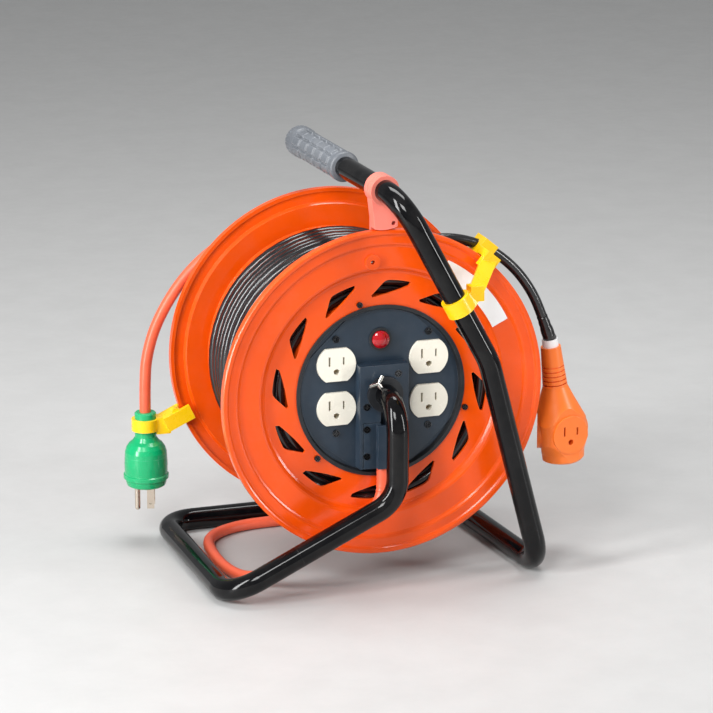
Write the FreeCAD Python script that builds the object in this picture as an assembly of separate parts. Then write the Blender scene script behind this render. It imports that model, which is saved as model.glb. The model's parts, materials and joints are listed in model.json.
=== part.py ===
import FreeCAD, Part
import math
import os

# Extension cord reel: a two-flange drum with a socket panel in its hub, turning on a bent tube stand.
# Units are millimetres. +X is the user's right, +Y runs from the socket panel to the back, +Z is up.
# The origin is on the floor under the middle of the stand.

V = FreeCAD.Vector

# ---- driving dimensions -------------------------------------------------------------------------

AXLE_X = 6.5              # axle centre, right of the stand's middle
AXLE_Z = 166.5            # axle centre above the floor
STAND_HALF_DEPTH = 108.5  # tube centre line, front and back of the stand
FRONT_GAP = 35.0          # tube centre line to the front rim of the drum

TUBE_R = 9.5
TUBE_BORE_R = 8.0
TUBE_BEND_R = 30.0

RIM_R = 143.0
RIM_BAND = 7.0            # depth of a flange's rolled rim
DRUM_DEPTH = 168.0        # over both rims
DRUM_Y = FRONT_GAP - STAND_HALF_DEPTH   # front rim plane of the drum

HUB_R = 74.0              # opening in the middle of a flange
FLANGE_WEB_Y = 10.0       # depth of a flange's inner web behind its rim plane
FLANGE_SKIN = 3.0
BARREL_R = 82.0
BARREL_WALL = 4.5
VENT_COUNT = 12
VENT_TIP_R = 97.0
VENT_ROOT_R = 82.5
VENT_START_DEG = 13.6

PANEL_Y = 12.0            # face of the socket panel behind the front rim plane
PANEL_LEDGE_Y = 13.5      # ledge of the panel that runs behind the flange's web
PANEL_R = 76.7
PANEL_FACE_R = 71.0
SOCKET_PITCH = 38.9       # between the two outlets of one duplex socket
SOCKET_X = (-39.5, 43.5)  # the duplex sockets, either side of the axle
SOCKET_Z = 6.5
SOCKET_FACE_R = 17.25
SOCKET_FACE_HALF = 14.4
SOCKET_SCREW_Z = 41.65

BREAKER_Z = 45.0
BUTTON_R = 7.6

WINDING_IN_R = 82.0
WINDING_OUT_R = 112.5
CABLE_R = 4.5             # outgoing cable
CORD_R = 5.0              # supply cord

RUNNING_FIT = 0.05        # radial clearance of a bush on the axle


def at(x, depth, height):
    """Point given from the axle and the drum's front rim plane."""
    return V(AXLE_X + x, DRUM_Y + depth, AXLE_Z + height)


def polar(radius, degrees, depth):
    angle = math.radians(degrees)
    return at(radius * math.cos(angle), depth, radius * math.sin(angle))


# ---- shape helpers ------------------------------------------------------------------------------

def rod(radius, start, end):
    axis = end.sub(start)
    return Part.makeCylinder(radius, axis.Length, start, axis)


def sleeve(inner, outer, depth0, depth1):
    """Ring about the axle."""
    solid = rod(outer, at(0, depth0, 0), at(0, depth1, 0))
    return solid.cut(rod(inner, at(0, depth0 - 1, 0), at(0, depth1 + 1, 0)))


def axle_disc(radius, depth0, depth1):
    return rod(radius, at(0, depth0, 0), at(0, depth1, 0))


def block(x0, x1, depth0, depth1, z0, z1):
    """Box given from the axle and the front rim plane."""
    return Part.makeBox(x1 - x0, depth1 - depth0, z1 - z0, at(x0, depth0, z0))


def lathe(profile):
    """Turn a closed (radius, depth) outline about the axle."""
    corners = [at(radius, depth, 0) for radius, depth in profile]
    face = Part.Face(Part.makePolygon(corners + corners[:1]))
    return face.revolve(at(0, 0, 0), V(0, 1, 0), 360)


def prism(corners, depth0, depth1):
    """Push a closed outline in the drum's face plane from depth0 to depth1."""
    ring = [at(x, depth0, z) for x, z in corners]
    face = Part.Face(Part.makePolygon(ring + ring[:1]))
    return face.extrude(V(0, depth1 - depth0, 0))


def turn_angle(before, here, after):
    return here.sub(before).getAngle(after.sub(here))


def bent_wire(points, radii):
    """Straight runs joined by tangent arcs, one radius for each inner point."""
    edges = []
    start = points[0]
    for index, radius in enumerate(radii, 1):
        before, here, after = points[index - 1:index + 2]
        back = before.sub(here).normalize()
        ahead = after.sub(here).normalize()
        half = turn_angle(before, here, after) / 2
        tangent = radius * math.tan(half)
        enter = here + back * tangent
        leave = here + ahead * tangent
        inward = (back + ahead).normalize()
        middle = here + inward * (radius / math.cos(half) - radius)
        if start.distanceToPoint(enter) > 1e-4:
            edges.append(Part.LineSegment(start, enter).toShape())
        edges.append(Part.Arc(enter, middle, leave).toShape())
        start = leave
    edges.append(Part.LineSegment(start, points[-1]).toShape())
    return Part.Wire(edges)


def sweep(wire, radius, start, towards):
    ring = Part.Wire(Part.Circle(start, towards.sub(start), radius).toShape())
    return wire.makePipeShell([ring], True, False)


def hollow_tube(points, radii, outer, inner):
    wire = bent_wire(points, radii)
    return sweep(wire, outer, points[0], points[1]).cut(sweep(wire, inner, points[0], points[1]))


def cord_radii(points):
    """Each arc as large as its two runs allow."""
    radii = []
    for before, here, after in zip(points, points[1:], points[2:]):
        shorter = min(before.distanceToPoint(here), here.distanceToPoint(after))
        radii.append(0.45 * shorter / math.tan(turn_angle(before, here, after) / 2))
    return radii


def cord_tube(name, points, radius):
    radii = cord_radii(points)
    wire = bent_wire(points, radii)
    tube = sweep(wire, radius, points[0], points[1])
    expected = math.pi * radius ** 2 * wire.Length
    print(name, "length", round(wire.Length), "volume ratio", round(tube.Volume / expected, 4),
          "radii", [round(value) for value in radii])
    return tube


def screw(head_r, head_h, shank_r, shank_l, centre, into):
    """Cross-head screw along Y: centre is under the head, into points along the shank."""
    into = V(into).normalize()
    top = centre - into * head_h
    body = rod(head_r, top, centre).fuse(rod(shank_r, centre, centre + into * shank_l)).removeSplitter()
    for wide, tall in ((head_r * 1.3, 0.8), (0.8, head_r * 1.3)):
        body = body.cut(Part.makeBox(wide, 1.6, tall, V(top.x - wide / 2, top.y - 0.8, top.z - tall / 2)))
    return body


def flat_polar(radius, degrees):
    angle = math.radians(degrees)
    return V(radius * math.cos(angle), radius * math.sin(angle), 0)


# ---- stand --------------------------------------------------------------------------------------

AXLE_FRONT = V(AXLE_X, -STAND_HALF_DEPTH, AXLE_Z)
AXLE_REAR = at(0, 176, 0)
POST_FOOT = V(AXLE_X, -STAND_HALF_DEPTH, 82.3)
LEFT_FRONT = V(-141, -103, TUBE_R)
LEFT_REAR = V(-140, STAND_HALF_DEPTH, TUBE_R)
RIGHT_REAR = V(121, STAND_HALF_DEPTH, TUBE_R)
RIGHT_FRONT = V(137, -STAND_HALF_DEPTH, TUBE_R)
LEG_KNEE = V(88, -STAND_HALF_DEPTH, 197)
HANDLE_FRONT = V(9.5, -STAND_HALF_DEPTH, 342.6)
HANDLE_REAR = V(-12.6, 110, 350.2)
TUBE_JOINT = POST_FOOT + (LEFT_FRONT - POST_FOOT) * 0.583
HANDLE_DIR = (HANDLE_REAR - HANDLE_FRONT).normalize()


def on_handle(y):
    return HANDLE_FRONT + HANDLE_DIR * ((y + STAND_HALF_DEPTH) / HANDLE_DIR.y)


COTTER_DIR = V(math.cos(math.radians(126)), 0, math.sin(math.radians(126)))
COTTER_CENTRE = at(0, -7, 0)
COTTER_R = 2.0


def stand_tube_front():
    """Axle, elbow, front post and half of the slanted run to the base."""
    points = [AXLE_REAR, AXLE_FRONT, POST_FOOT, TUBE_JOINT]
    tube = hollow_tube(points, [28.0, TUBE_BEND_R], TUBE_R, TUBE_BORE_R)
    hole = rod(COTTER_R + 0.1, COTTER_CENTRE - COTTER_DIR * 14, COTTER_CENTRE + COTTER_DIR * 14)
    return tube.cut(hole)


def stand_tube_base():
    """Other half of the slanted run, base loop, leg and handle."""
    points = [TUBE_JOINT, LEFT_FRONT, LEFT_REAR, RIGHT_REAR, RIGHT_FRONT, LEG_KNEE, HANDLE_FRONT, HANDLE_REAR]
    return hollow_tube(points, [TUBE_BEND_R, 27, 27, 26, 70, 33], TUBE_R, TUBE_BORE_R)


def stand_joint_sleeve():
    along = (LEFT_FRONT - POST_FOOT).normalize()
    outer = rod(TUBE_BORE_R, TUBE_JOINT - along * 22, TUBE_JOINT + along * 22)
    return outer.cut(rod(TUBE_BORE_R - 1.5, TUBE_JOINT - along * 23, TUBE_JOINT + along * 23))


def axle_end_cap():
    cap = axle_disc(13.0, 168.6, 179.0).cut(axle_disc(TUBE_R, 167, 176))
    outer_face = DRUM_Y + 179.0
    rim = [edge for edge in cap.Edges if edge.BoundBox.YMin > outer_face - 1e-3]
    return cap.makeFillet(2.0, rim)


def handle_grip():
    """Rubber sleeve on the handle, with a collar at its mouth and a bulb over the tube's end."""
    mouth, bulb, end = on_handle(6), on_handle(99), on_handle(112.5)
    body = rod(12.2, mouth, bulb)
    body = body.fuse(rod(13.4, mouth, on_handle(12)))
    body = body.fuse(Part.makeSphere(14.0, bulb))
    tail = rod(20, end, on_handle(130))
    body = body.cut(tail)
    return body.cut(rod(TUBE_R, mouth - HANDLE_DIR, HANDLE_REAR)).removeSplitter()


def cotter_pin():
    """Split pin across the axle: eye below, legs spread above."""
    side = COTTER_DIR.cross(V(0, 1, 0))
    pin = rod(COTTER_R, COTTER_CENTRE - COTTER_DIR * 12.5, COTTER_CENTRE + COTTER_DIR * 14)
    eye = Part.makeTorus(3.6, 1.5, COTTER_CENTRE - COTTER_DIR * 16, V(0, 1, 0))
    pin = pin.fuse(eye)
    for sign in (-1, 1):
        root = COTTER_CENTRE + COTTER_DIR * 13.4 + side * (0.4 * sign)
        pin = pin.fuse(rod(1.7, root, root + COTTER_DIR * 3.6 + side * (7.0 * sign)))
    return pin


# ---- supply: arm, slip rings --------------------------------------------------------------------

ARM_FRONT = 0.0
ARM_SPLIT = 5.0
ARM_BACK = PANEL_Y
ARM_HALF_WIDTH = 21.8
ARM_TOP = 25.0
ARM_BOTTOM = -66.0
CORD_X = 0.5
CORD_DEPTH = 3.2
CHANNEL_FRONT = -4.4
FEED_SCREWS = ((12.5, 16.5), (-15.5, -11.0), (-15.5, -31.0), (-15.5, -55.0))


def arm_outline(depth0, depth1):
    body = block(-ARM_HALF_WIDTH, ARM_HALF_WIDTH, depth0, depth1, ARM_BOTTOM, ARM_TOP)
    if depth0 == ARM_FRONT:
        body = body.fuse(block(CORD_X - 7.4, CORD_X + 9.0, CHANNEL_FRONT, ARM_FRONT, ARM_BOTTOM, -27.5))
    channel = rod(7.0, at(CORD_X, CORD_DEPTH, ARM_BOTTOM - 1), at(CORD_X, CORD_DEPTH, ARM_BOTTOM + 8))
    lead = rod(CORD_R, at(CORD_X, CORD_DEPTH, ARM_BOTTOM - 1), at(CORD_X, CORD_DEPTH, -14))
    return body.cut(axle_disc(TUBE_R, -5, 20)).cut(channel).cut(lead)


def feed_arm_base():
    body = arm_outline(ARM_SPLIT, ARM_BACK)
    for x, z in FEED_SCREWS:
        body = body.cut(rod(1.6, at(x, ARM_SPLIT - 1, z), at(x, ARM_BACK - 1, z)))
    return body


def feed_arm_cover():
    """Front half of the arm, with the groove lines of its channel and sunk screws."""
    body = arm_outline(ARM_FRONT, ARM_SPLIT)
    body = body.cut(block(-19.5, -18.3, ARM_FRONT - 1, ARM_FRONT + 0.8, ARM_BOTTOM - 1, -25.5))
    body = body.cut(block(-19.5, 22.6, ARM_FRONT - 1, ARM_FRONT + 0.8, -26.0, -24.8))
    for x, z in FEED_SCREWS:
        body = body.cut(rod(3.2, at(x, ARM_FRONT - 1, z), at(x, ARM_FRONT + 1.2, z)))
        body = body.cut(rod(1.6, at(x, ARM_FRONT, z), at(x, ARM_SPLIT + 1, z)))
    return body


def feed_arm_screws():
    return [screw(2.9, 1.6, 1.6, 9.5, at(x, ARM_FRONT + 1.2, z), (0, 1, 0)) for x, z in FEED_SCREWS]


def cord_bush():
    low, high = at(CORD_X, CORD_DEPTH, ARM_BOTTOM), at(CORD_X, CORD_DEPTH, ARM_BOTTOM + 8)
    return rod(7.0, low, high).cut(rod(CORD_R, low - V(0, 0, 1), high + V(0, 0, 1)))


BRUSH_DEPTHS = (20.0, 26.5, 33.0)
SLIP_RING_BORE = 22.0
HUB_TUBE_R = 16.5


def front_washer():
    return sleeve(TUBE_R, 15.5, -4.6, ARM_FRONT)


def brush_holder():
    body = sleeve(TUBE_R, 18.0, PANEL_Y + 4, 36.0)
    for depth in BRUSH_DEPTHS:
        body = body.cut(block(-2.6, 2.6, depth - 2.1, depth + 2.1, 12.0, 19.0))
    return body


def carbon_brushes():
    return [block(-2.5, 2.5, depth - 2.0, depth + 2.0, 12.0, 21.6) for depth in BRUSH_DEPTHS]


def slip_rings():
    return [sleeve(SLIP_RING_BORE, 23.5, depth - 2.4, depth + 2.4) for depth in BRUSH_DEPTHS]


def ring_carrier():
    body = sleeve(SLIP_RING_BORE, 27.0, 16.0, 42.0)
    for depth in BRUSH_DEPTHS:
        body = body.cut(sleeve(SLIP_RING_BORE - 1, 23.5, depth - 2.4, depth + 2.4))
    end = sleeve(HUB_TUBE_R, SLIP_RING_BORE, 39.0, 42.0)
    return body.fuse(end).removeSplitter()


def drum_web():
    """Disc inside the barrel that carries the front end of the hub tube."""
    body = sleeve(HUB_TUBE_R, BARREL_R - BARREL_WALL, 52.0, 55.0)
    for index in range(6):
        centre = polar(47, 60 * index + 30, 0)
        body = body.cut(rod(14, V(centre.x, DRUM_Y + 50, centre.z), V(centre.x, DRUM_Y + 57, centre.z)))
    return body


def axle_spacer():
    return sleeve(TUBE_R, 13.0, 36.0, 41.8)


def hub_tube():
    return sleeve(14.0, HUB_TUBE_R, 39.0, CORE_REAR - 3)


def axle_bush(depth0, depth1):
    return sleeve(TUBE_R + RUNNING_FIT, 14.0, depth0, depth1)


def rear_washer():
    return sleeve(TUBE_R, 17.5, 166.0, 168.6)


# ---- drum ---------------------------------------------------------------------------------------

def flange_profile():
    """Half section of a flange: rolled rim, two flat rings with soft steps, and the set-back web."""
    back_y = FLANGE_WEB_Y + FLANGE_SKIN
    front = [(142.2, 0), (140.0, 0), (138.9, 0.5), (138.1, 1.6), (137.2, 2.4), (136.0, 2.6),
             (131.0, 2.6), (129.6, 3.1), (128.4, 4.3), (127.0, 5.0), (110.0, 5.0), (108.2, 5.6),
             (106.6, 7.4), (105.2, 9.2), (103.4, FLANGE_WEB_Y), (HUB_R, FLANGE_WEB_Y)]
    back = [(HUB_R, back_y), (106.2, back_y), (109.2, 8.0), (128.7, 8.0), (130.7, 5.4), (139.8, 5.2),
            (139.8, RIM_BAND), (RIM_R, RIM_BAND), (RIM_R, 0.8)]
    return front + back


def vent_cut(index, depth0, depth1):
    """Fin-shaped slot: an arc at the tip radius, a blunt root, and a bowed slanted side."""
    start = VENT_START_DEG + 360.0 / VENT_COUNT * index
    spread = [(VENT_TIP_R, start + step * 2.4) for step in range(6)]
    root = [(96.3, start + 13.8), (94.2, start + 15.4), (VENT_ROOT_R + 2.0, start + 22.2),
            (VENT_ROOT_R + 0.2, start + 21.6), (VENT_ROOT_R + 0.4, start + 19.6), (85.2, start + 11.5),
            (89.6, start + 4.6), (93.6, start + 0.5)]
    corners = [(radius * math.cos(math.radians(angle)), radius * math.sin(math.radians(angle)))
               for radius, angle in spread + root]
    return prism(corners, depth0, depth1)


FLANGE_SCREW_R = 79.4
FLANGE_SCREW_DEG = (104.0, 224.0, 344.0)


def front_flange():
    body = lathe(flange_profile())
    for index in range(VENT_COUNT):
        body = body.cut(vent_cut(index, FLANGE_WEB_Y - 2, FLANGE_WEB_Y + FLANGE_SKIN + 1))
    for angle in FLANGE_SCREW_DEG:
        body = body.cut(rod(1.6, polar(FLANGE_SCREW_R, angle, 8), polar(FLANGE_SCREW_R, angle, 15)))
    boss = rod(6.5, polar(115.4, 94.7, 2.6), polar(115.4, 94.7, 6.5))
    body = body.fuse(boss)
    return body.cut(rod(1.8, polar(115.4, 94.7, 0), polar(115.4, 94.7, 12))).removeSplitter()


def rear_flange():
    body = lathe([(radius, DRUM_DEPTH - depth) for radius, depth in flange_profile()])
    web = DRUM_DEPTH - FLANGE_WEB_Y
    for index in range(VENT_COUNT):
        body = body.cut(vent_cut(index, web - FLANGE_SKIN - 1, web + 2))
    for angle in FLANGE_SCREW_DEG:
        start, end = (polar(FLANGE_SCREW_R, angle, depth) for depth in (web - 5, web + 2))
        body = body.cut(rod(1.6, start, end))
    return body


CORE_FRONT = FLANGE_WEB_Y + FLANGE_SKIN
CORE_REAR = DRUM_DEPTH - CORE_FRONT
CABLE_HOLE_DEPTH = 24.0


def drum_barrel():
    """Barrel between the flanges, drilled for their screws and for the cable's way out."""
    body = sleeve(BARREL_R - BARREL_WALL, BARREL_R, CORE_FRONT, CORE_REAR)
    for angle in FLANGE_SCREW_DEG:
        for depth0, depth1 in ((CORE_FRONT - 1, CORE_FRONT + 15), (CORE_REAR - 15, CORE_REAR + 1)):
            start, end = (polar(FLANGE_SCREW_R, angle, depth) for depth in (depth0, depth1))
            body = body.cut(rod(1.5, start, end))
    return body.cut(rod(6.5, at(60, CABLE_HOLE_DEPTH, 0), at(90, CABLE_HOLE_DEPTH, 0)))


def cable_grommet():
    ring = rod(6.5, at(76.5, CABLE_HOLE_DEPTH, 0), at(81.8, CABLE_HOLE_DEPTH, 0))
    return ring.cut(rod(CABLE_R, at(70, CABLE_HOLE_DEPTH, 0), at(90, CABLE_HOLE_DEPTH, 0)))


def flange_screws(depth, into):
    places = [polar(FLANGE_SCREW_R, angle, depth) for angle in FLANGE_SCREW_DEG]
    return [screw(2.6, 1.8, 1.5, 14.0, place, into) for place in places]


def hub_bezel():
    """Ring clipped round the panel, with a lip that hides the running gap to the flange."""
    return lathe([(PANEL_FACE_R, PANEL_LEDGE_Y), (PANEL_FACE_R, PANEL_Y), (72.6, 8.6), (75.6, 8.6),
                  (75.6, 9.6), (HUB_R - 0.7, 9.6), (HUB_R - 0.7, PANEL_LEDGE_Y)])


def socket_faces(x, clearance, depth0, depth1):
    """The two D-sided outlet faces of one duplex socket."""
    faces = []
    for sign in (-1, 1):
        z = SOCKET_Z + sign * SOCKET_PITCH / 2
        disc = rod(SOCKET_FACE_R + clearance, at(x, depth0, z), at(x, depth1, z))
        half = SOCKET_FACE_HALF + clearance
        faces.append(disc.common(block(x - 20, x + 20, depth0, depth1, z - half, z + half)))
    return faces


def socket_panel():
    """Fixed disc in the hub opening, cut for the axle, the sockets and the breaker."""
    body = axle_disc(PANEL_R, PANEL_LEDGE_Y, PANEL_Y + 4)
    body = body.fuse(axle_disc(PANEL_FACE_R, PANEL_Y, PANEL_LEDGE_Y))
    for angle in (-128.0, -46.0, 46.0, 134.0):
        edge = Part.makeBox(20, 2, 120, V(67.2, -1, -60))
        edge.rotate(V(0, 0, 0), V(0, 1, 0), -angle)
        edge.translate(at(0, PANEL_Y, 0))
        body = body.cut(edge.common(axle_disc(90, PANEL_Y - 1, PANEL_Y + 0.9)))
    body = body.cut(axle_disc(TUBE_R, 5, 20))
    for x in SOCKET_X:
        for face in socket_faces(x, 0.25, PANEL_Y - 1, 20):
            body = body.cut(face)
        for sign in (-1, 1):
            z = SOCKET_Z + sign * SOCKET_SCREW_Z
            body = body.cut(rod(1.7, at(x, 5, z), at(x, 20, z)))
    return body.cut(rod(8.9, at(0, 5, BREAKER_Z), at(0, 20, BREAKER_Z))).removeSplitter()


def socket_body(x):
    """Duplex socket: two faces with their blade slots, a moulded body and a mounting strap."""
    body = block(x - 10, x + 10, 16, 40, SOCKET_Z - 34, SOCKET_Z + 34)
    strap = block(x - 6, x + 6, 16, 17.5, SOCKET_Z - 48, SOCKET_Z + 48)
    body = body.fuse(strap)
    for face in socket_faces(x, 0, 9.4, 16):
        body = body.fuse(face)
    for sign in (-1, 1):
        z = SOCKET_Z + sign * SOCKET_PITCH / 2
        body = body.cut(block(x - 7.2, x - 5.4, 8, 22, z - 1.0, z + 7.4))
        body = body.cut(block(x + 5.5, x + 7.1, 8, 22, z - 0.2, z + 6.6))
        body = body.cut(rod(2.6, at(x, 8, z - 6.2), at(x, 22, z - 6.2)))
        body = body.cut(block(x - 2.6, x + 2.6, 8, 22, z - 6.2, z - 4.4))
        screw_z = SOCKET_Z + sign * SOCKET_SCREW_Z
        body = body.cut(rod(1.6, at(x, 15, screw_z), at(x, 20, screw_z)))
    return body.removeSplitter()


def socket_contacts():
    """Brass wipers at the bottom of every blade slot."""
    pieces = []
    for x in SOCKET_X:
        for sign in (-1, 1):
            z = SOCKET_Z + sign * SOCKET_PITCH / 2
            pieces.append(block(x - 7.2, x - 5.4, 19.5, 22, z - 1.0, z + 7.4))
            pieces.append(block(x + 5.5, x + 7.1, 19.5, 22, z - 0.2, z + 6.6))
            pieces.append(rod(2.6, at(x, 19.5, z - 6.2), at(x, 22, z - 6.2)))
    return pieces


def socket_screws():
    return [screw(3.1, 1.3, 1.6, 7.5, at(x, PANEL_Y, SOCKET_Z + sign * SOCKET_SCREW_Z), (0, 1, 0))
            for x in SOCKET_X for sign in (-1, 1)]


def breaker_body():
    body = block(-11, 11, 16, 44, BREAKER_Z - 10, BREAKER_Z + 10)
    neck = rod(8.9, at(0, PANEL_Y, BREAKER_Z), at(0, 16, BREAKER_Z))
    return body.fuse(neck).cut(rod(BUTTON_R + 0.4, at(0, 8, BREAKER_Z), at(0, 26, BREAKER_Z)))


def breaker_bezel():
    ring = rod(10.0, at(0, 10.4, BREAKER_Z), at(0, PANEL_Y, BREAKER_Z))
    return ring.cut(rod(BUTTON_R + 0.4, at(0, 8, BREAKER_Z), at(0, 14, BREAKER_Z)))


def reset_button():
    """Domed plunger of the circuit breaker."""
    shaft = rod(BUTTON_R, at(0, 9.0, BREAKER_Z), at(0, 21.7, BREAKER_Z))
    dome_r = 11.0
    drop = math.sqrt(dome_r ** 2 - BUTTON_R ** 2)
    ball = Part.makeSphere(dome_r, at(0, 9.0 + drop, BREAKER_Z))
    dome = ball.common(rod(BUTTON_R, at(0, -5, BREAKER_Z), at(0, 9.0, BREAKER_Z)))
    return shaft.fuse(dome).removeSplitter()


def rear_cover():
    """Disc that closes the back of the hub, with a boss and ribs round the axle."""
    web = DRUM_DEPTH - FLANGE_WEB_Y
    body = axle_disc(BARREL_R - BARREL_WALL, CORE_REAR - 3, CORE_REAR)
    body = body.fuse(axle_disc(HUB_R, CORE_REAR, web - 1))
    body = body.fuse(axle_disc(21.0, web - 1, 165.7))
    for index in range(6):
        rib = block(20, 68, web - 1, 162, -1.5, 1.5)
        rib.rotate(at(0, 0, 0), V(0, 1, 0), 60 * index)
        body = body.fuse(rib)
    return body.cut(axle_disc(14.0, CORE_REAR - 4, 170)).removeSplitter()


def blank_label():
    """Plain sticker on the flat ring of the front flange."""
    ring = sleeve(110.4, 125.6, 4.7, 5.0)
    corners = [(0, 0)] + [(170 * math.cos(math.radians(angle)), 170 * math.sin(math.radians(angle)))
                          for angle in (26, 38, 50, 62)]
    return ring.common(prism(corners, 4, 6))


def cable_winding():
    """Outer shape of all the turns of the outgoing cable."""
    return sleeve(WINDING_IN_R, WINDING_OUT_R, CORE_FRONT, CORE_REAR)


# ---- drum stopper -------------------------------------------------------------------------------

STOPPER_Y = DRUM_Y + 5.0
STOPPER_BORE_R = TUBE_R + 0.06


def drum_stopper():
    """Ring on the handle tube with a tongue that bears on the front rim; it swings clear sideways."""
    hub = on_handle(STOPPER_Y)
    half = HANDLE_DIR * 7.0
    body = rod(13.0, hub - half, hub + half)
    rim_top = AXLE_Z + RIM_R
    foot_low = rim_top + 0.6
    tongue = [V(hub.x - 11, STOPPER_Y - 6.5, hub.z - 5), V(hub.x + 6, STOPPER_Y - 6.5, hub.z - 8),
              V(hub.x + 12, STOPPER_Y - 6.5, foot_low + 8), V(hub.x + 12, STOPPER_Y - 6.5, foot_low + 3),
              V(hub.x - 8, STOPPER_Y - 6.5, foot_low + 3)]
    plate = Part.Face(Part.makePolygon(tongue + tongue[:1])).extrude(V(0, 13, 0))
    foot = rod(hub.z - foot_low, V(hub.x, STOPPER_Y - 6.5, hub.z), V(hub.x, STOPPER_Y + 8.5, hub.z))
    foot = foot.common(Part.makeBox(20, 15, 8, V(hub.x - 8, STOPPER_Y - 6.5, foot_low - 1)))
    body = body.fuse(plate).fuse(foot)
    eyelet_at = V(hub.x + 8.4, STOPPER_Y - 20, foot_low + 5.2)
    eyelet = rod(1.9, eyelet_at, eyelet_at + V(0, 40, 0))
    hook_low = rim_top - 5.0
    hook = rod(hub.z - hook_low, V(hub.x, STOPPER_Y + 4.8, hub.z), V(hub.x, STOPPER_Y + 8.5, hub.z))
    hook = hook.common(Part.makeBox(20, 3.7, 14, V(hub.x - 8, STOPPER_Y + 4.8, hook_low - 1)))
    body = body.fuse(hook).cut(eyelet)
    return body.cut(rod(STOPPER_BORE_R, hub - HANDLE_DIR * 12, hub + HANDLE_DIR * 12)).removeSplitter()


# ---- supply cord, plug and clip -----------------------------------------------------------------

FLOOR_CORD_Z = CORD_R + 0.2
BEHIND_Y = DRUM_Y + DRUM_DEPTH + CORD_R + 3.0
PLUG_X = -158.5
PLUG_Y = 94.5
PLUG_NECK_TOP = 118.0
PLUG_NECK_R = 9.5

CORD_ROUTE = [
    at(CORD_X, CORD_DEPTH, ARM_BOTTOM),
    V(7, -70.3, 87),
    V(3.5, -73, 73),
    V(-6, -78, 61.5),
    V(-22, -84, 53),
    V(-46, -89, 43),
    V(-78, -86, 28),
    V(-108, -64, 9),
    V(-119, -28, FLOOR_CORD_Z),
    V(-120, 18, FLOOR_CORD_Z),
    V(-113, 64, FLOOR_CORD_Z),
    V(-82, 88, FLOOR_CORD_Z),
    V(-40, 92, FLOOR_CORD_Z),
    V(10, 89, FLOOR_CORD_Z),
    V(56, 86, 7),
    V(92, 95, 25),
    V(122, BEHIND_Y, 52),
    V(139, BEHIND_Y + 1, 96),
    V(144, BEHIND_Y, 148),
    V(133, BEHIND_Y, 200),
    V(105, BEHIND_Y, 244),
    V(62, BEHIND_Y, 274),
    V(12, BEHIND_Y, 287),
    V(-38, BEHIND_Y, 284),
    V(-82, BEHIND_Y, 266),
    V(-118, BEHIND_Y, 238),
    V(-144, BEHIND_Y - 1, 200),
    V(-155.5, BEHIND_Y - 4, 168),
    V(PLUG_X, PLUG_Y, 143),
    V(PLUG_X, PLUG_Y, PLUG_NECK_TOP),
]


def power_cord():
    return cord_tube("power_cord", CORD_ROUTE, CORD_R)


PLUG_TURN_DEG = -18.5     # the plug hangs turned a little about its cord
BLADE_X = 4.0
EARTH_X = -7.9


def plug_lathe(profile):
    """Turn a closed (radius, height) outline about the plug's axis."""
    corners = [V(PLUG_X + radius, PLUG_Y, height) for radius, height in profile]
    face = Part.Face(Part.makePolygon(corners + corners[:1]))
    return face.revolve(V(PLUG_X, PLUG_Y, 0), V(0, 0, 1), 360)


def on_plug(shape):
    """Place a shape modelled about the origin on the plug's axis, turned with the plug."""
    shape.rotate(V(0, 0, 0), V(0, 0, 1), PLUG_TURN_DEG)
    return shape.translated(V(PLUG_X, PLUG_Y, 0))


def plug_cap():
    """Neck and round-shouldered clamp shell of the plug."""
    shoulder = [(0, 78), (18.8, 78), (18.5, 82), (17.2, 86), (14.8, 89.5), (11.8, 92), (PLUG_NECK_R, 95.5)]
    neck = [(PLUG_NECK_R, PLUG_NECK_TOP - 1), (PLUG_NECK_R - 1, PLUG_NECK_TOP), (0, PLUG_NECK_TOP)]
    return plug_lathe(shoulder + neck)


def pin_holes():
    """Seats of the two blades and the earth pin in the plug body."""
    holes = [Part.makeBox(6.4, 1.6, 15, V(BLADE_X - 3.2, dy - 0.8, 47)) for dy in (-6.35, 6.35)]
    holes.append(Part.makeCylinder(2.4, 15, V(EARTH_X, 0, 47)))
    return on_plug(Part.makeCompound(holes))


def plug_body():
    body = plug_lathe([(0, 50.5), (15.8, 50.5), (17.2, 51.6), (18.0, 54.5), (18.2, 57.2), (20.0, 57.8),
                       (20.0, 61.0), (18.9, 61.8), (19.2, 70), (18.8, 78), (0, 78)])
    return body.cut(pin_holes())


def plug_blades():
    """Two flat blades with a hole near the tip, seated in the plug body."""
    blades = []
    for dy in (-6.35, 6.35):
        blade = Part.makeBox(6.4, 1.6, 31.5, V(BLADE_X - 3.2, dy - 0.8, 30.5))
        blade = blade.cut(Part.makeCylinder(1.6, 4, V(BLADE_X, dy - 2, 36), V(0, 1, 0)))
        blades.append(on_plug(blade))
    return blades


def plug_earth_pin():
    pin = Part.makeCylinder(2.4, 32.5, V(EARTH_X, 0, 29.5)).fuse(Part.makeSphere(2.4, V(EARTH_X, 0, 29.5)))
    return on_plug(pin.removeSplitter())


def rim_slot(depth0, depth1):
    """Space that a jaw leaves round a turning rim."""
    return lathe([(90, depth0), (RIM_R + 0.7, depth0), (RIM_R + 0.7, depth1), (90, depth1)])


def bar(start, end, width, thickness, flat):
    """Straight bar of rectangular section; flat is the direction across its thickness."""
    along = end.sub(start).normalize()
    across = along.cross(flat).normalize()
    normal = across.cross(along)
    corners = [start + across * (width / 2 * i) + normal * (thickness / 2 * j)
               for i, j in ((1, 1), (-1, 1), (-1, -1), (1, -1))]
    return Part.Face(Part.makePolygon(corners + corners[:1])).extrude(end.sub(start))


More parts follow.
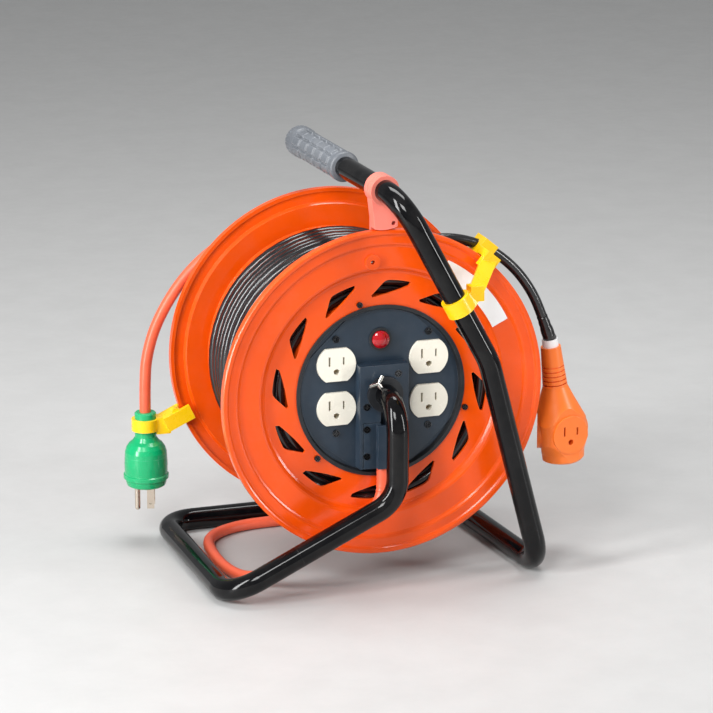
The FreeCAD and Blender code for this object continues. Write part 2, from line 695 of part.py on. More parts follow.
def plug_clip():
    """Ring on the plug's neck, a knuckle, and a jaw over the rear rim."""
    neck0, neck1 = V(PLUG_X, PLUG_Y, 101.5), V(PLUG_X, PLUG_Y, 112)
    body = rod(PLUG_NECK_R + 2.8, neck0, neck1)
    knuckle = Part.makeBox(13, 13, 15, V(PLUG_X + 8, 86, 98.5))
    body = body.fuse(knuckle)
    body = body.fuse(bar(V(PLUG_X + 16, 91, 107), V(PLUG_X + 39.5, 91, 118), 13.5, 18, V(0, 1, 0)))
    body = body.fuse(rod(3.2, V(PLUG_X + 25, 84, 118.5), V(PLUG_X + 25, 90, 118.5)))
    body = body.cut(rod(PLUG_NECK_R, neck0 - V(0, 0, 9), neck1 + V(0, 0, 9)))
    return body.cut(rim_slot(DRUM_DEPTH - RIM_BAND - 2.2, DRUM_DEPTH + 0.8)).removeSplitter()


# ---- outgoing cable, triple tap and clip --------------------------------------------------------

TAIL_Y = DRUM_Y + 25.0
TAP_TOP = V(166.5, TAIL_Y, 194)
TAP_DIR = V(0.13, 0, -1).normalize()

TAIL_ROUTE = [
    V(-8, TAIL_Y, 284.2),
    V(28, TAIL_Y, 286.5),
    V(66, TAIL_Y, 293.5),
    V(102, TAIL_Y, 284.5),
    V(130, TAIL_Y, 264),
    V(149, TAIL_Y, 239),
    V(160, TAIL_Y, 213),
    TAP_TOP,
]


def cable_tail():
    return cord_tube("cable_tail", TAIL_ROUTE, CABLE_R)


def along_tap(distance):
    return TAP_TOP + TAP_DIR * distance


def tap_collar():
    return rod(7.0, TAP_TOP, along_tap(7)).cut(rod(CABLE_R, TAP_TOP - TAP_DIR, along_tap(8)))


TAP_FACE_DEG = (-82.0, 38.0, 158.0)
TAP_FACE_AT = 84.0
TAP_FACE_R = 16.8
TAP_APOTHEM = 18.0
TAP_CORNER_R = 12.0
TAP_BOTTOM = 111.5


def tap_prism():
    """Rounded three-sided bar, one side for each outlet."""
    inner = TAP_APOTHEM - TAP_CORNER_R
    start = along_tap(30)
    edges = []
    for angle in TAP_FACE_DEG:
        out = flat_polar(TAP_CORNER_R, angle)
        ends = [start + flat_polar(2 * inner, corner) + out for corner in (angle - 60, angle + 60)]
        edges.append(Part.LineSegment(*ends).toShape())
        corner = angle + 60
        hub = start + flat_polar(2 * inner, corner)
        arc = [hub + flat_polar(TAP_CORNER_R, corner + turn) for turn in (-60, 0, 60)]
        edges.append(Part.Arc(*arc).toShape())
    return Part.Face(Part.Wire(edges)).extrude(TAP_DIR * (TAP_BOTTOM - 30))


def tap_envelope():
    """Shoulder below the neck, full band at the outlets, and a narrowing foot."""
    outline = [(0, 42), (10.5, 42), (15.5, 55), (24.5, 76), (24.5, 90), (19.4, 103), (18.6, 109.5),
               (16.6, TAP_BOTTOM), (0, TAP_BOTTOM)]
    side = TAP_DIR.cross(V(0, 1, 0))
    corners = [along_tap(distance) + side * radius for radius, distance in outline]
    face = Part.Face(Part.makePolygon(corners + corners[:1]))
    return face.revolve(TAP_TOP, TAP_DIR, 360)


def tap_body():
    """Ribbed neck flaring into a three-sided body with a round outlet on each side."""
    body = tap_prism().common(tap_envelope())
    neck = Part.makeCone(8.8, 11.2, 40, along_tap(7), TAP_DIR)
    for index in range(5):
        groove = rod(14, along_tap(24 + 4 * index), along_tap(25.2 + 4 * index))
        neck = neck.cut(groove.cut(rod(8.8, along_tap(20), along_tap(50))))
    body = body.fuse(neck)
    centre = along_tap(TAP_FACE_AT)
    for angle in TAP_FACE_DEG:
        out = flat_polar(1, angle)
        body = body.fuse(rod(TAP_FACE_R, centre + out * 14, centre + out * (TAP_APOTHEM + 1.8)))
        for reach, size_z in ((-6.3, 8.2), (6.3, 6.8)):
            slot = Part.makeBox(13, 1.8, size_z, V(TAP_APOTHEM - 10, reach - 0.9, -0.5))
            slot.rotate(V(0, 0, 0), V(0, 0, 1), angle)
            body = body.cut(slot.translated(centre))
        pin = centre - V(0, 0, 6.5)
        body = body.cut(rod(2.5, pin + out * (TAP_APOTHEM - 10), pin + out * (TAP_APOTHEM + 3)))
    return body


def leg_at(z):
    return LEG_KNEE + (HANDLE_FRONT - LEG_KNEE) * ((z - LEG_KNEE.z) / (HANDLE_FRONT.z - LEG_KNEE.z))


JAW_DEG = 50.0


def cable_clip():
    """Ring on the stand's leg, an arm, and a jaw over the front rim with a hook for the cable."""
    along = (HANDLE_FRONT - LEG_KNEE).normalize()
    ring_at = leg_at(249.0)
    ring = rod(TUBE_R + 3.0, ring_at - along * 7, ring_at + along * 7)
    jaw = Part.makeBox(15, 20, 14, V(RIM_R - 8, -7.5, -7))
    hook = Part.makeBox(15.0, 21, 14, V(RIM_R - 0.2, 12.0, -7))
    bridge = Part.makeBox(6.3, 22, 14, V(RIM_R + 0.7, -7.5, -7))
    turned = []
    for piece in (jaw, hook, bridge):
        piece.rotate(V(0, 0, 0), V(0, 1, 0), -JAW_DEG)
        turned.append(piece.translated(at(0, 0, 0)))
    jaw, hook, bridge = turned
    elbow = ring_at + V(17, 5, 8)
    knuckle = Part.makeBox(12, 12, 13, elbow - V(6, 6, 6.5))
    arm = bar(elbow, polar(RIM_R + 2, JAW_DEG, -2), 13, 6.5, V(0.4, 1, 0))
    link = bar(ring_at + V(9, 0, 0), elbow, 11, 7, V(0, 1, 0))
    body = ring.fuse(link).fuse(knuckle).fuse(arm).fuse(jaw).fuse(bridge).fuse(hook)
    body = body.cut(rod(TUBE_R, ring_at - along * 20, ring_at + along * 20))
    body = body.cut(rim_slot(-0.8, RIM_BAND + 2.2))
    tail = sweep(bent_wire(TAIL_ROUTE, cord_radii(TAIL_ROUTE)), CABLE_R, TAIL_ROUTE[0], TAIL_ROUTE[1])
    return body.cut(tail).removeSplitter()


# ---- write every node ---------------------------------------------------------------------------

NODES = {
    "stand_tube_front": stand_tube_front,
    "stand_tube_base": stand_tube_base,
    "stand_joint_sleeve": stand_joint_sleeve,
    "axle_end_cap": axle_end_cap,
    "handle_grip": handle_grip,
    "cotter_pin": cotter_pin,
    "front_washer": front_washer,
    "rear_washer": rear_washer,
    "axle_spacer": axle_spacer,
    "feed_arm_base": feed_arm_base,
    "feed_arm_cover": feed_arm_cover,
    "feed_arm_screws": feed_arm_screws,
    "cord_bush": cord_bush,
    "brush_holder": brush_holder,
    "carbon_brushes": carbon_brushes,
    "slip_rings": slip_rings,
    "ring_carrier": ring_carrier,
    "hub_tube": hub_tube,
    "drum_web": drum_web,
    "axle_bush_front": lambda: axle_bush(42.0, 58.0),
    "axle_bush_rear": lambda: axle_bush(149.0, 165.7),
    "front_flange": front_flange,
    "rear_flange": rear_flange,
    "drum_barrel": drum_barrel,
    "cable_grommet": cable_grommet,
    "flange_screws_front": lambda: flange_screws(FLANGE_WEB_Y, (0, 1, 0)),
    "flange_screws_rear": lambda: flange_screws(DRUM_DEPTH - FLANGE_WEB_Y, (0, -1, 0)),
    "hub_bezel": hub_bezel,
    "socket_panel": socket_panel,
    "socket_left": lambda: socket_body(SOCKET_X[0]),
    "socket_right": lambda: socket_body(SOCKET_X[1]),
    "socket_contacts": socket_contacts,
    "socket_screws": socket_screws,
    "breaker_body": breaker_body,
    "breaker_bezel": breaker_bezel,
    "reset_button": reset_button,
    "rear_cover": rear_cover,
    "blank_label": blank_label,
    "cable_winding": cable_winding,
    "drum_stopper": drum_stopper,
    "power_cord": power_cord,
    "plug_cap": plug_cap,
    "plug_body": plug_body,
    "plug_blades": plug_blades,
    "plug_earth_pin": plug_earth_pin,
    "plug_clip": plug_clip,
    "cable_tail": cable_tail,
    "tap_collar": tap_collar,
    "tap_body": tap_body,
    "cable_clip": cable_clip,
}


def main():
    os.makedirs("parts", exist_ok=True)
    for name, build in NODES.items():
        shape = build()
        if isinstance(shape, list):
            shape = Part.makeCompound(shape)
        print(name, "solids", len(shape.Solids), "valid", shape.isValid(), "volume", round(shape.Volume))
        shape.exportStep("parts/" + name + ".step")


main()
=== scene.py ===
import json
import math

import bmesh
import bpy
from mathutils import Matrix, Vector

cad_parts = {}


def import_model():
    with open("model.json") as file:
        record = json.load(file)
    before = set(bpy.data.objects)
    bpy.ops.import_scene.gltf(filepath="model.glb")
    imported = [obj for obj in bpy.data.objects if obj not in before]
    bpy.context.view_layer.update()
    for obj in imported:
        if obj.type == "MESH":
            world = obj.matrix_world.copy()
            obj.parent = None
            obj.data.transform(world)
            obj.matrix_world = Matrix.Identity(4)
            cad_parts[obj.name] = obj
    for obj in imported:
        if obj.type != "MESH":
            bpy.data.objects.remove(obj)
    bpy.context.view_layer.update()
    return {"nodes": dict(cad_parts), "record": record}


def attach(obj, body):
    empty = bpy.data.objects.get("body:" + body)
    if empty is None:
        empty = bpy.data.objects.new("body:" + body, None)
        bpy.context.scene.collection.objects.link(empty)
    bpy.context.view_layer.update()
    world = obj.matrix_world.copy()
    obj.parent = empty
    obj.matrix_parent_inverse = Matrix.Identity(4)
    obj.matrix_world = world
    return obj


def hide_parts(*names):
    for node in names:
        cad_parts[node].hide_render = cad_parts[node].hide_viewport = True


# The looks of an extension cord reel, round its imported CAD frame. Units are metres, in the frame's own axes:
# +X to the user's right, +Y from the socket panel to the back, +Z up from the floor.

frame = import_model()
nodes = frame["nodes"]

# ---- driving dimensions -------------------------------------------------------------------------

CAMERA_AZIMUTH = -18.5
CAMERA_ELEVATION = 16.0
CAMERA_DISTANCE = 3.2
CAMERA_TARGET = Vector((-0.0185, -0.0735, 0.2014))
CAMERA_LENS = 191.1
SENSOR = 36.0

AXLE = Vector((0.0065, -0.0735, 0.1665))   # drum axle where it crosses the front rim's plane

CABLE_R = 0.0045
CORD_R = 0.005
BEHIND_Y = 0.1025          # the cord's plane behind the drum

# The cords' routes, as in the CAD: control points of each centre line.
CORD_ROUTE = [
    (0.0070, -0.0703, 0.1005), (0.0070, -0.0703, 0.0870), (0.0035, -0.0730, 0.0730),
    (-0.0060, -0.0780, 0.0615), (-0.0220, -0.0840, 0.0530), (-0.0460, -0.0890, 0.0430),
    (-0.0780, -0.0860, 0.0280), (-0.1080, -0.0640, 0.0090), (-0.1190, -0.0280, 0.0052),
    (-0.1200, 0.0180, 0.0052), (-0.1130, 0.0640, 0.0052), (-0.0820, 0.0880, 0.0052),
    (-0.0400, 0.0920, 0.0052), (0.0100, 0.0890, 0.0052), (0.0560, 0.0860, 0.0070),
    (0.0920, 0.0950, 0.0250), (0.1220, BEHIND_Y, 0.0520), (0.1390, BEHIND_Y + 0.001, 0.0960),
    (0.1440, BEHIND_Y, 0.1480), (0.1330, BEHIND_Y, 0.2000), (0.1050, BEHIND_Y, 0.2440),
    (0.0620, BEHIND_Y, 0.2740), (0.0120, BEHIND_Y, 0.2870), (-0.0380, BEHIND_Y, 0.2840),
    (-0.0820, BEHIND_Y, 0.2660), (-0.1180, BEHIND_Y, 0.2380), (-0.1440, BEHIND_Y - 0.001, 0.2000),
    (-0.1555, BEHIND_Y - 0.004, 0.1680), (-0.1585, 0.0945, 0.1430), (-0.1585, 0.0945, 0.1180),
]

TAIL_Y = -0.0485           # the tail hangs in one plane
TAIL_ROUTE = [
    (-0.0080, TAIL_Y, 0.2842), (0.0280, TAIL_Y, 0.2865), (0.0660, TAIL_Y, 0.2935),
    (0.1020, TAIL_Y, 0.2845), (0.1300, TAIL_Y, 0.2640), (0.1490, TAIL_Y, 0.2390),
    (0.1600, TAIL_Y, 0.2130), (0.1665, TAIL_Y, 0.1940),
]

WINDING_LAYERS = (0.0866, 0.0939, 0.1010, 0.1080)    # radius of each layer's centre line
WINDING_TURNS = 14         # in each layer
WINDING_FRONT = 0.0178     # first turn's centre behind the front rim plane
WINDING_BACK = 0.1502      # last turn's
POINTS_PER_TURN = 20
WINDING_START = ((0.0775, 0.024, 0.0), (0.0850, 0.024, -0.004))    # out through the barrel, from AXLE
START_ANGLE = -0.5
FIRST_TURN_SHIFT = 0.0062  # how far behind its place the first turn starts, and over how many points
FIRST_TURN_POINTS = 10
LAYER_RISE = 0.0072        # each further layer climbs this much over its first points
LAYER_RISE_POINTS = 6
DEPTH_WAVES = ((0.0007, 0.37, 2.1), (0.0005, 0.113, 1.0))    # size, pace along a turn, shift per layer
REACH_WAVES = ((0.0004, 0.23, 1.7),)
TAIL_REACH = 0.1178        # from the axle, where the tail leaves the drum


# ---- materials ----------------------------------------------------------------------------------

DRIFT_SCALE = 22.0         # noise scales, per metre: colour drift, dust film, gloss, worn and painted-highlight patches along edges
DUST_SCALE = 55.0
GLOSS_SCALE = 75.0
WEAR_AND_HIGHLIGHT_SCALE = 180.0
DUST_COLOR = (0.45, 0.43, 0.40, 1.0)
COAT_ROUGHNESS = 0.08


def linear(red, green, blue):
    """sRGB bytes to linear colour."""
    def one(value):
        value = value / 255
        return value / 12.92 if value <= 0.04045 else ((value + 0.055) / 1.055) ** 2.4
    return (one(red), one(green), one(blue), 1.0)


def new_material(name):
    material = bpy.data.materials.new(name)
    material.use_nodes = True
    tree = material.node_tree
    tree.nodes.clear()
    output = tree.nodes.new("ShaderNodeOutputMaterial")
    shader = tree.nodes.new("ShaderNodeBsdfPrincipled")
    tree.links.new(shader.outputs["BSDF"], output.inputs["Surface"])
    return material, tree, shader


def noise(tree, scale, detail=3.0, roughness=0.55):
    coordinates = tree.nodes.new("ShaderNodeTexCoord")
    texture = tree.nodes.new("ShaderNodeTexNoise")
    texture.inputs["Scale"].default_value = scale
    texture.inputs["Detail"].default_value = detail
    texture.inputs["Roughness"].default_value = roughness
    tree.links.new(coordinates.outputs["Object"], texture.inputs["Vector"])
    return texture.outputs["Fac"]


def remap(tree, source, low, high, to_low, to_high):
    node = tree.nodes.new("ShaderNodeMapRange")
    node.inputs["From Min"].default_value = low
    node.inputs["From Max"].default_value = high
    node.inputs["To Min"].default_value = to_low
    node.inputs["To Max"].default_value = to_high
    tree.links.new(source, node.inputs["Value"])
    return node.outputs["Result"]


def mix_color(tree, factor, first, second):
    node = tree.nodes.new("ShaderNodeMix")
    node.data_type = "RGBA"
    tree.links.new(factor, node.inputs["Factor"])
    for socket, value in ((node.inputs["A"], first), (node.inputs["B"], second)):
        if isinstance(value, tuple):
            socket.default_value = value
        else:
            tree.links.new(value, socket)
    return node.outputs["Result"]


# Lightens edges, convex and concave alike: some of it is wear, some is a painted highlight.
def edge_wear_and_highlight(tree, reach, amount):
    """Brighter where the surface turns an edge, broken up by noise: partly wear, partly a painted highlight.
    """
    bevel = tree.nodes.new("ShaderNodeBevel")
    bevel.samples = 4
    bevel.inputs["Radius"].default_value = reach
    geometry = tree.nodes.new("ShaderNodeNewGeometry")
    alike = tree.nodes.new("ShaderNodeVectorMath")
    alike.operation = "DOT_PRODUCT"
    tree.links.new(bevel.outputs["Normal"], alike.inputs[0])
    tree.links.new(geometry.outputs["Normal"], alike.inputs[1])
    edge = remap(tree, alike.outputs["Value"], 0.99, 0.90, 0.0, amount)
    patches = remap(tree, noise(tree, WEAR_AND_HIGHLIGHT_SCALE, 4.0), 0.40, 0.62, 0.15, 1.0)
    product = tree.nodes.new("ShaderNodeMath")
    product.operation = "MULTIPLY"
    tree.links.new(edge, product.inputs[0])
    tree.links.new(patches, product.inputs[1])
    return product.outputs["Value"]


def shade(name, color, rough, tint, grain, bump, depth=0.0002, metallic=0.0,
          coat=0.0, wear_and_highlight=None, wear_and_highlight_at=(0.0006, 0.7), dust=0.0, specular=0.5):
    """A surface with colour drift, grain, uneven gloss, optional lighter edges (wear and a painted highlight)
    and optional dust.
    """
    material, tree, shader = new_material(name)
    darker = tuple(channel * (1 - tint) for channel in color[:3]) + (1.0,)
    lighter = tuple(min(1.0, channel * (1 + tint)) for channel in color[:3]) + (1.0,)
    drift = remap(tree, noise(tree, DRIFT_SCALE, 4.0), 0.35, 0.65, 0.0, 1.0)
    surface = mix_color(tree, drift, darker, lighter)
    if dust:
        film = remap(tree, noise(tree, DUST_SCALE, 6.0, 0.7), 0.45, 0.8, 0.0, dust)
        surface = mix_color(tree, film, surface, DUST_COLOR)
    # The edge colour stands for wear and also for a painted highlight along the edges.
    if wear_and_highlight:
        surface = mix_color(tree, edge_wear_and_highlight(tree, *wear_and_highlight_at), surface, wear_and_highlight)
    tree.links.new(surface, shader.inputs["Base Color"])
    gloss = remap(tree, noise(tree, GLOSS_SCALE, 5.0, 0.65), 0.3, 0.7, rough[0], rough[1])
    tree.links.new(gloss, shader.inputs["Roughness"])
    shader.inputs["Metallic"].default_value = metallic
    shader.inputs["Coat Weight"].default_value = coat
    shader.inputs["Coat Roughness"].default_value = COAT_ROUGHNESS
    shader.inputs["Specular IOR Level"].default_value = specular
    relief = tree.nodes.new("ShaderNodeBump")
    relief.inputs["Strength"].default_value = bump
    relief.inputs["Distance"].default_value = depth
    tree.links.new(noise(tree, grain, 3.0, 0.6), relief.inputs["Height"])
    tree.links.new(relief.outputs["Normal"], shader.inputs["Normal"])
    return material


def red_lens(name):
    """Clear red plastic dome, cloudy inside."""
    material = shade(name, (0.55, 0.004, 0.012, 1.0), (0.08, 0.16), 0.25, 400.0, 0.03, coat=0.6)
    shader = next(node for node in material.node_tree.nodes if node.type == "BSDF_PRINCIPLED")
    shader.inputs["Transmission Weight"].default_value = 0.25
    shader.inputs["Subsurface Weight"].default_value = 0.3
    shader.inputs["Subsurface Radius"].default_value = (0.004, 0.001, 0.001)
    return material


MATERIALS = {
    "drum_orange": shade("drum_orange", linear(234, 80, 6), (0.14, 0.24), 0.05, 420.0, 0.04, 0.0003,
                         coat=0.15, wear_and_highlight=linear(250, 150, 84), dust=0.03, specular=0.38),
    "black_tube": shade("black_tube", linear(6, 6, 8), (0.05, 0.11), 0.2, 300.0, 0.05, 0.0003, specular=0.3,
                        wear_and_highlight=linear(74, 72, 70), dust=0.02),
    "panel_plastic": shade("panel_plastic", linear(36, 50, 64), (0.30, 0.42), 0.05, 1500.0, 0.10, 0.0002,
                           wear_and_highlight=linear(104, 112, 122), dust=0.03),
    "socket_cream": shade("socket_cream", linear(240, 235, 220), (0.20, 0.32), 0.03, 900.0, 0.03, 0.0002,
                          wear_and_highlight=linear(250, 247, 236), dust=0.04),
    "black_plastic": shade("black_plastic", linear(26, 28, 32), (0.32, 0.46), 0.12, 1500.0, 0.10, 0.0002,
                           wear_and_highlight=linear(84, 86, 90), dust=0.04),
    "button_red": red_lens("button_red"),
    "zinc": shade("zinc", linear(222, 220, 212), (0.14, 0.30), 0.10, 700.0, 0.10, 0.0002, metallic=1.0),
    "steel": shade("steel", linear(150, 150, 152), (0.25, 0.40), 0.10, 900.0, 0.12, 0.0002, metallic=1.0),
    "nickel": shade("nickel", linear(216, 202, 186), (0.15, 0.30), 0.08, 900.0, 0.06, 0.0001, metallic=1.0),
    "brass": shade("brass", linear(208, 164, 84), (0.22, 0.36), 0.10, 900.0, 0.08, 0.0002, metallic=1.0),
    "dark_steel": shade("dark_steel", linear(42, 44, 48), (0.22, 0.38), 0.20, 900.0, 0.12, 0.0002,
                        metallic=1.0, wear_and_highlight=linear(190, 190, 190)),
    "nylon": shade("nylon", linear(222, 218, 204), (0.4, 0.55), 0.06, 900.0, 0.08, 0.0002),
    "carbon": shade("carbon", linear(44, 44, 46), (0.5, 0.7), 0.2, 1600.0, 0.2, 0.0002),
    "label_white": shade("label_white", linear(240, 240, 240), (0.32, 0.46), 0.03, 1600.0, 0.04, 0.0001,
                         dust=0.04),
    # The grip's light pad outlines are a painted highlight: the edge colour stands in for the light on its
    # raised pads.
    "grip_rubber": shade("grip_rubber", linear(102, 106, 112), (0.26, 0.42), 0.16, 2600.0, 0.30, 0.0003,
                         wear_and_highlight=linear(226, 228, 232), wear_and_highlight_at=(0.0010, 0.8), dust=0.12),
    "cable_black": shade("cable_black", linear(20, 20, 22), (0.14, 0.26), 0.2, 1500.0, 0.12, 0.0002,
                         dust=0.05, specular=0.7),
    "cord_orange": shade("cord_orange", linear(234, 98, 66), (0.30, 0.45), 0.07, 1500.0, 0.10, 0.0002,
                         dust=0.04),
    "plug_green": shade("plug_green", linear(10, 166, 104), (0.16, 0.30), 0.08, 700.0, 0.05, 0.0003,
                        coat=0.2, wear_and_highlight=linear(120, 214, 170)),
    "clip_yellow": shade("clip_yellow", linear(250, 202, 6), (0.22, 0.36), 0.05, 700.0, 0.05, 0.0003,
                         coat=0.1, wear_and_highlight=linear(255, 232, 120)),
    "stopper_pink": shade("stopper_pink", linear(240, 128, 112), (0.24, 0.38), 0.06, 700.0, 0.06, 0.0003,
                          coat=0.1, wear_and_highlight=linear(250, 186, 172)),
    "tap_orange": shade("tap_orange", linear(250, 122, 40), (0.28, 0.42), 0.06, 900.0, 0.08, 0.0003,
                        wear_and_highlight=linear(253, 172, 112), dust=0.03),
}

for part in frame["record"]["subparts"]:
    node = nodes[part["node"]]
    node.data.materials.clear()
    node.data.materials.append(MATERIALS[part["material_slot"]])


# ---- mesh helpers -------------------------------------------------------------------------------

def add_piece(name, data, slot, body="stand"):
    piece = bpy.data.objects.new(name, data)
    bpy.context.scene.collection.objects.link(piece)
    data.materials.append(MATERIALS[slot])
    if isinstance(data, bpy.types.Mesh):
        for polygon in data.polygons:
            polygon.use_smooth = True
    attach(piece, body)
    return piece


def nurbs(name, points, radius, slot, body="stand", resolution=10):
    """A round cord along a smooth line, with the route's points as its control points."""
    curve = bpy.data.curves.new(name, "CURVE")
    curve.dimensions = "3D"
    spline = curve.splines.new("NURBS")
    spline.points.add(len(points) - 1)
    for point, place in zip(spline.points, points):
        point.co = (*place, 1.0)
        point.radius = radius
    spline.order_u = 3
    spline.use_endpoint_u = True
    spline.resolution_u = resolution
    curve.bevel_depth = 1.0    # times each point's own radius
    curve.bevel_resolution = 5
    curve.use_fill_caps = True
    return add_piece(name, curve, slot, body)


def spline_points(piece):
    """Points read from a cord's own smooth line."""
    plain = piece.data.copy()
    plain.bevel_depth = 0.0
    holder = bpy.data.objects.new("line", plain)
    bpy.context.scene.collection.objects.link(holder)
    mesh = bpy.data.meshes.new_from_object(holder)
    points = [vertex.co.copy() for vertex in mesh.vertices]
    bpy.data.objects.remove(holder)
    return points


def frames_along(points):
    """Centre, two side vectors and distance at each point, turning as little as they can."""
    tangent = (points[1] - points[0]).normalized()
    side = tangent.orthogonal().normalized()
    travelled = 0.0
    result = []
    for index, point in enumerate(points):
        ahead = points[min(index + 1, len(points) - 1)] - points[max(index - 1, 0)]
        turned = ahead.normalized()
        side = (side - turned * side.dot(turned)).normalized()
        if index:
            travelled += (point - points[index - 1]).length
        result.append((point, side, turned.cross(side), travelled))
    return result


def loft(name, points, radius_at, slot, segments):
    """Round skin along a line; radius_at(distance, angle) gives its size."""
    mesh = bmesh.new()
    rings = []
    for centre, side, other, distance in frames_along(points):
        ring = []
        for step in range(segments):
            angle = math.tau * step / segments
            radius = radius_at(distance, angle)
            place = centre + side * (radius * math.cos(angle)) + other * (radius * math.sin(angle))
            ring.append(mesh.verts.new(place))
        rings.append(ring)
    for low, high in zip(rings, rings[1:]):
        for step in range(segments):
            after = (step + 1) % segments
            mesh.faces.new((low[step], low[after], high[after], high[step]))
    mesh.faces.new(list(reversed(rings[0])))
    mesh.faces.new(rings[-1])
    bmesh.ops.recalc_face_normals(mesh, faces=mesh.faces)
    data = bpy.data.meshes.new(name)
    mesh.to_mesh(data)
    mesh.free()
    return add_piece(name, data, slot)


def straight(start, end, count):
    return [start.lerp(end, step / (count - 1)) for step in range(count)]


def smoothstep(low, high, value):
    value = min(1.0, max(0.0, (value - low) / (high - low)))
    return value * value * (3 - 2 * value)


# ---- cords --------------------------------------------------------------------------------------

def cut_line(points, length):
    """The first stretch of a line, of the given length."""
    kept = [points[0]]
    travelled = 0.0
    for a, b in zip(points, points[1:]):
        travelled += (b - a).length
        kept.append(b)
        if travelled >= length:
            break
    return kept


power_cord = nurbs("power_cord_line", CORD_ROUTE, CORD_R, "cord_orange")
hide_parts("power_cord")
cord_line = spline_points(power_cord)

cable_tail = nurbs("cable_tail_line", TAIL_ROUTE, CABLE_R, "cable_black")
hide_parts("cable_tail")
tail_line = spline_points(cable_tail)


def wander(waves, index, layer):
    """A slow small drift, so that the turns don't lie like a screw's thread."""
    return sum(size * math.sin(index * pace + layer * shift) for size, pace, shift in waves)


def winding_points():
    """Every full turn of the cable on the drum, layer over layer, and the angle it stops at."""
    step = math.tau / POINTS_PER_TURN
    swell = 1 / math.cos(step / 2)    # control points lie outside the circle they draw
    points = [AXLE + Vector(place) for place in WINDING_START]
    count = WINDING_TURNS * POINTS_PER_TURN
    turned = START_ANGLE
    for layer, radius in enumerate(WINDING_LAYERS):
        start, end = WINDING_FRONT, WINDING_BACK
        if layer % 2:
            start, end = end, start
        for index in range(count):
            part = index / count
            depth = start + (end - start) * part
            depth += wander(DEPTH_WAVES, index, layer)
            reach = radius + wander(REACH_WAVES, index, layer)
            if layer == 0:
                depth += FIRST_TURN_SHIFT * (1 - smoothstep(0, FIRST_TURN_POINTS, index))
            elif index < LAYER_RISE_POINTS:
                reach -= LAYER_RISE * (1 - index / LAYER_RISE_POINTS)
            place = Vector((reach * swell * math.cos(turned), depth, reach * swell * math.sin(turned)))
            points.append(AXLE + place)
            turned -= step
    return points, turned


def run_out_points(last_angle):
    """From the last full turn out to the tail, rising and moving across as it goes."""
    tail = Vector(TAIL_ROUTE[0])
    sweep = (last_angle - math.atan2(tail.z - AXLE.z, tail.x - AXLE.x)) % math.tau
    steps = max(6, round(sweep / math.tau * POINTS_PER_TURN))
    outer = WINDING_LAYERS[-1]
    points = []
    for index in range(1, steps + 1):
        share = index / steps
        angle = last_angle - sweep * share
        reach = outer + (TAIL_REACH - outer) * smoothstep(0.2, 1.0, share)
        depth = WINDING_FRONT + (TAIL_Y - AXLE.y - WINDING_FRONT) * smoothstep(0.3, 1.0, share)
        points.append(AXLE + Vector((reach * math.cos(angle), depth, reach * math.sin(angle))))
    points.append(tail)
    return points


turns, stop_angle = winding_points()
turns += run_out_points(stop_angle)
winding = nurbs("winding_turns", turns, CABLE_R, "cable_black", "drum", resolution=3)
winding.data.bevel_resolution = 3
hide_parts("cable_winding")
winding_line = spline_points(winding)


# ---- handle grip --------------------------------------------------------------------------------

HANDLE_FRONT = Vector((0.0095, -0.1085, 0.3426))
HANDLE_REAR = Vector((-0.0126, 0.1100, 0.3502))
GRIP_MOUTH_Y = 0.006
GRIP_LENGTH = 0.1062
GRIP_ROWS = 5
GRIP_COLUMNS = 8
GRIP_BODY_R = 0.0113
PAD_HEIGHT = 0.0017
PADS_START = 0.011         # distances from the grip's mouth
PADS_LENGTH = 0.076
COLLAR_RISE = 0.0021
MOUTH_FALL = 0.0012
BULB_RISE = 0.0026
KNURL_START = 0.092
KNURL_COUNT = 20
KNURL_DEPTH = 0.0005
DOME_START = 0.096
DOME_FALL = 0.8
CELL_SOFT = 0.05           # half the soft edge of a raised cell, as a share of the cell


def on_handle(y):
    """The point on the handle tube's centre line at this y."""
    direction = HANDLE_REAR - HANDLE_FRONT
    return HANDLE_FRONT + direction * ((y - HANDLE_FRONT.y) / direction.y)


def cell(position, count, filled):
    """1 inside a raised cell, 0 in the gap between cells, with soft edges."""
    inside = (position * count) % 1.0
    edge = (1 - filled) / 2
    rise = smoothstep(edge - CELL_SOFT, edge + CELL_SOFT, inside)
    fall = smoothstep(1 - edge - CELL_SOFT, 1 - edge + CELL_SOFT, inside)
    return rise * (1 - fall)


def grip_radius(distance, angle):
    """A collar at the mouth, rows of raised pads, then a bulb with a fluted, domed end."""
    collar = COLLAR_RISE * (1 - smoothstep(0.0055, 0.0085, distance))
    collar -= MOUTH_FALL * (1 - smoothstep(0.0, 0.0015, distance))
    bulb = BULB_RISE * smoothstep(0.082, 0.090, distance)
    radius = GRIP_BODY_R + collar + bulb
    if PADS_START < distance < PADS_START + PADS_LENGTH:
        row = (distance - PADS_START) / PADS_LENGTH
        radius += PAD_HEIGHT * cell(row, GRIP_ROWS, 0.80) * cell(angle / math.tau, GRIP_COLUMNS, 0.78)
    if distance > KNURL_START:
        radius -= KNURL_DEPTH * cell(angle / math.tau, KNURL_COUNT, 0.35)
    end = (distance - DOME_START) / (GRIP_LENGTH - DOME_START)
    if end > 0:
        radius *= math.sqrt(max(0.0, 1 - DOME_FALL * end * end))
    return radius


mouth = on_handle(GRIP_MOUTH_Y)
grip_end = mouth + (HANDLE_REAR - HANDLE_FRONT).normalized() * GRIP_LENGTH
grip = loft("grip_padded", straight(mouth, grip_end, 190), grip_radius, "grip_rubber", segments=192)
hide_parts("handle_grip")


# ---- strain reliefs -----------------------------------------------------------------------------

RELIEF_LENGTH = 0.022
RING_DEPTH = 0.0004


def ribbed_taper(start, end, rings):
    """Radius of a relief that narrows along a cord, with ring grooves."""
    def radius(distance, angle):
        share = min(1.0, distance / RELIEF_LENGTH)
        groove = RING_DEPTH * cell(share, rings, 0.35) if share < 0.96 else 0.0
        return start + (end - start) * share - groove
    return radius


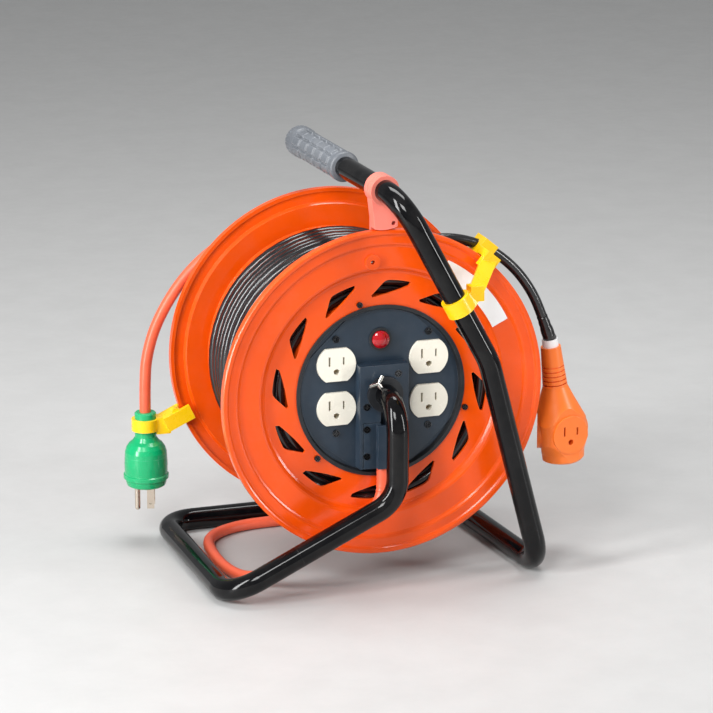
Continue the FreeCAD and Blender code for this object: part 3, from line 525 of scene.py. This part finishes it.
loft("cord_relief", cut_line(cord_line, RELIEF_LENGTH), ribbed_taper(0.0066, 0.0053, 5),
     "cord_orange", segments=36)
loft("tail_relief", cut_line(tail_line[::-1], RELIEF_LENGTH), ribbed_taper(0.0062, 0.0048, 4),
     "cable_black", segments=36)


# ---- floor, light, camera -----------------------------------------------------------------------

FLOOR_SIZE = 12.0
FLOOR_COLOR = (0.50, 0.50, 0.495, 1.0)
SKY_COLOR = (0.78, 0.79, 0.80, 1.0)
SKY_STRENGTH = 0.43
LIGHTS = (    # name, place, point it looks at, width and height, watts
    ("key", (-1.1, -1.5, 1.7), (0.0, 0.0, 0.15), (0.7, 0.7), 25.0),
    ("strip", (-1.5, -0.5, 0.75), (0.0, 0.0, 0.2), (0.3, 1.5), 31.0),
    ("fill", (1.7, -1.3, 0.8), (0.0, 0.0, 0.2), (0.22, 1.4), 20.0),
    ("top", (0.2, 0.3, 2.0), (0.0, 0.0, 0.1), (1.4, 0.6), 27.0),
)


def floor():
    mesh = bmesh.new()
    bmesh.ops.create_grid(mesh, x_segments=2, y_segments=2, size=FLOOR_SIZE)
    data = bpy.data.meshes.new("floor")
    mesh.to_mesh(data)
    mesh.free()
    piece = bpy.data.objects.new("floor", data)
    bpy.context.scene.collection.objects.link(piece)
    data.materials.append(shade("floor", FLOOR_COLOR, (0.45, 0.6), 0.02, 60.0, 0.03, 0.001))


def area_light(name, place, aim, size, power):
    light = bpy.data.lights.new(name, "AREA")
    light.shape = "RECTANGLE"
    light.size, light.size_y = size
    light.energy = power
    lamp = bpy.data.objects.new(name, light)
    bpy.context.scene.collection.objects.link(lamp)
    lamp.location = place
    lamp.rotation_euler = (Vector(aim) - Vector(place)).to_track_quat("-Z", "Y").to_euler()


def world():
    sky = bpy.data.worlds.new("studio")
    bpy.context.scene.world = sky
    sky.use_nodes = True
    background = sky.node_tree.nodes["Background"]
    background.inputs["Color"].default_value = SKY_COLOR
    background.inputs["Strength"].default_value = SKY_STRENGTH


def camera():
    lens = bpy.data.cameras.new("camera")
    lens.lens = CAMERA_LENS
    lens.sensor_width = SENSOR
    lens.clip_end = 50.0
    eye = bpy.data.objects.new("camera", lens)
    bpy.context.scene.collection.objects.link(eye)
    azimuth = math.radians(CAMERA_AZIMUTH)
    elevation = math.radians(CAMERA_ELEVATION)
    back = Vector((math.sin(azimuth) * math.cos(elevation), -math.cos(azimuth) * math.cos(elevation),
                   math.sin(elevation)))
    eye.location = CAMERA_TARGET + back * CAMERA_DISTANCE
    eye.rotation_euler = (-back).to_track_quat("-Z", "Y").to_euler()
    bpy.context.scene.camera = eye


floor()
world()
for light_facts in LIGHTS:
    area_light(*light_facts)
camera()
bpy.context.scene.view_settings.view_transform = "Standard"
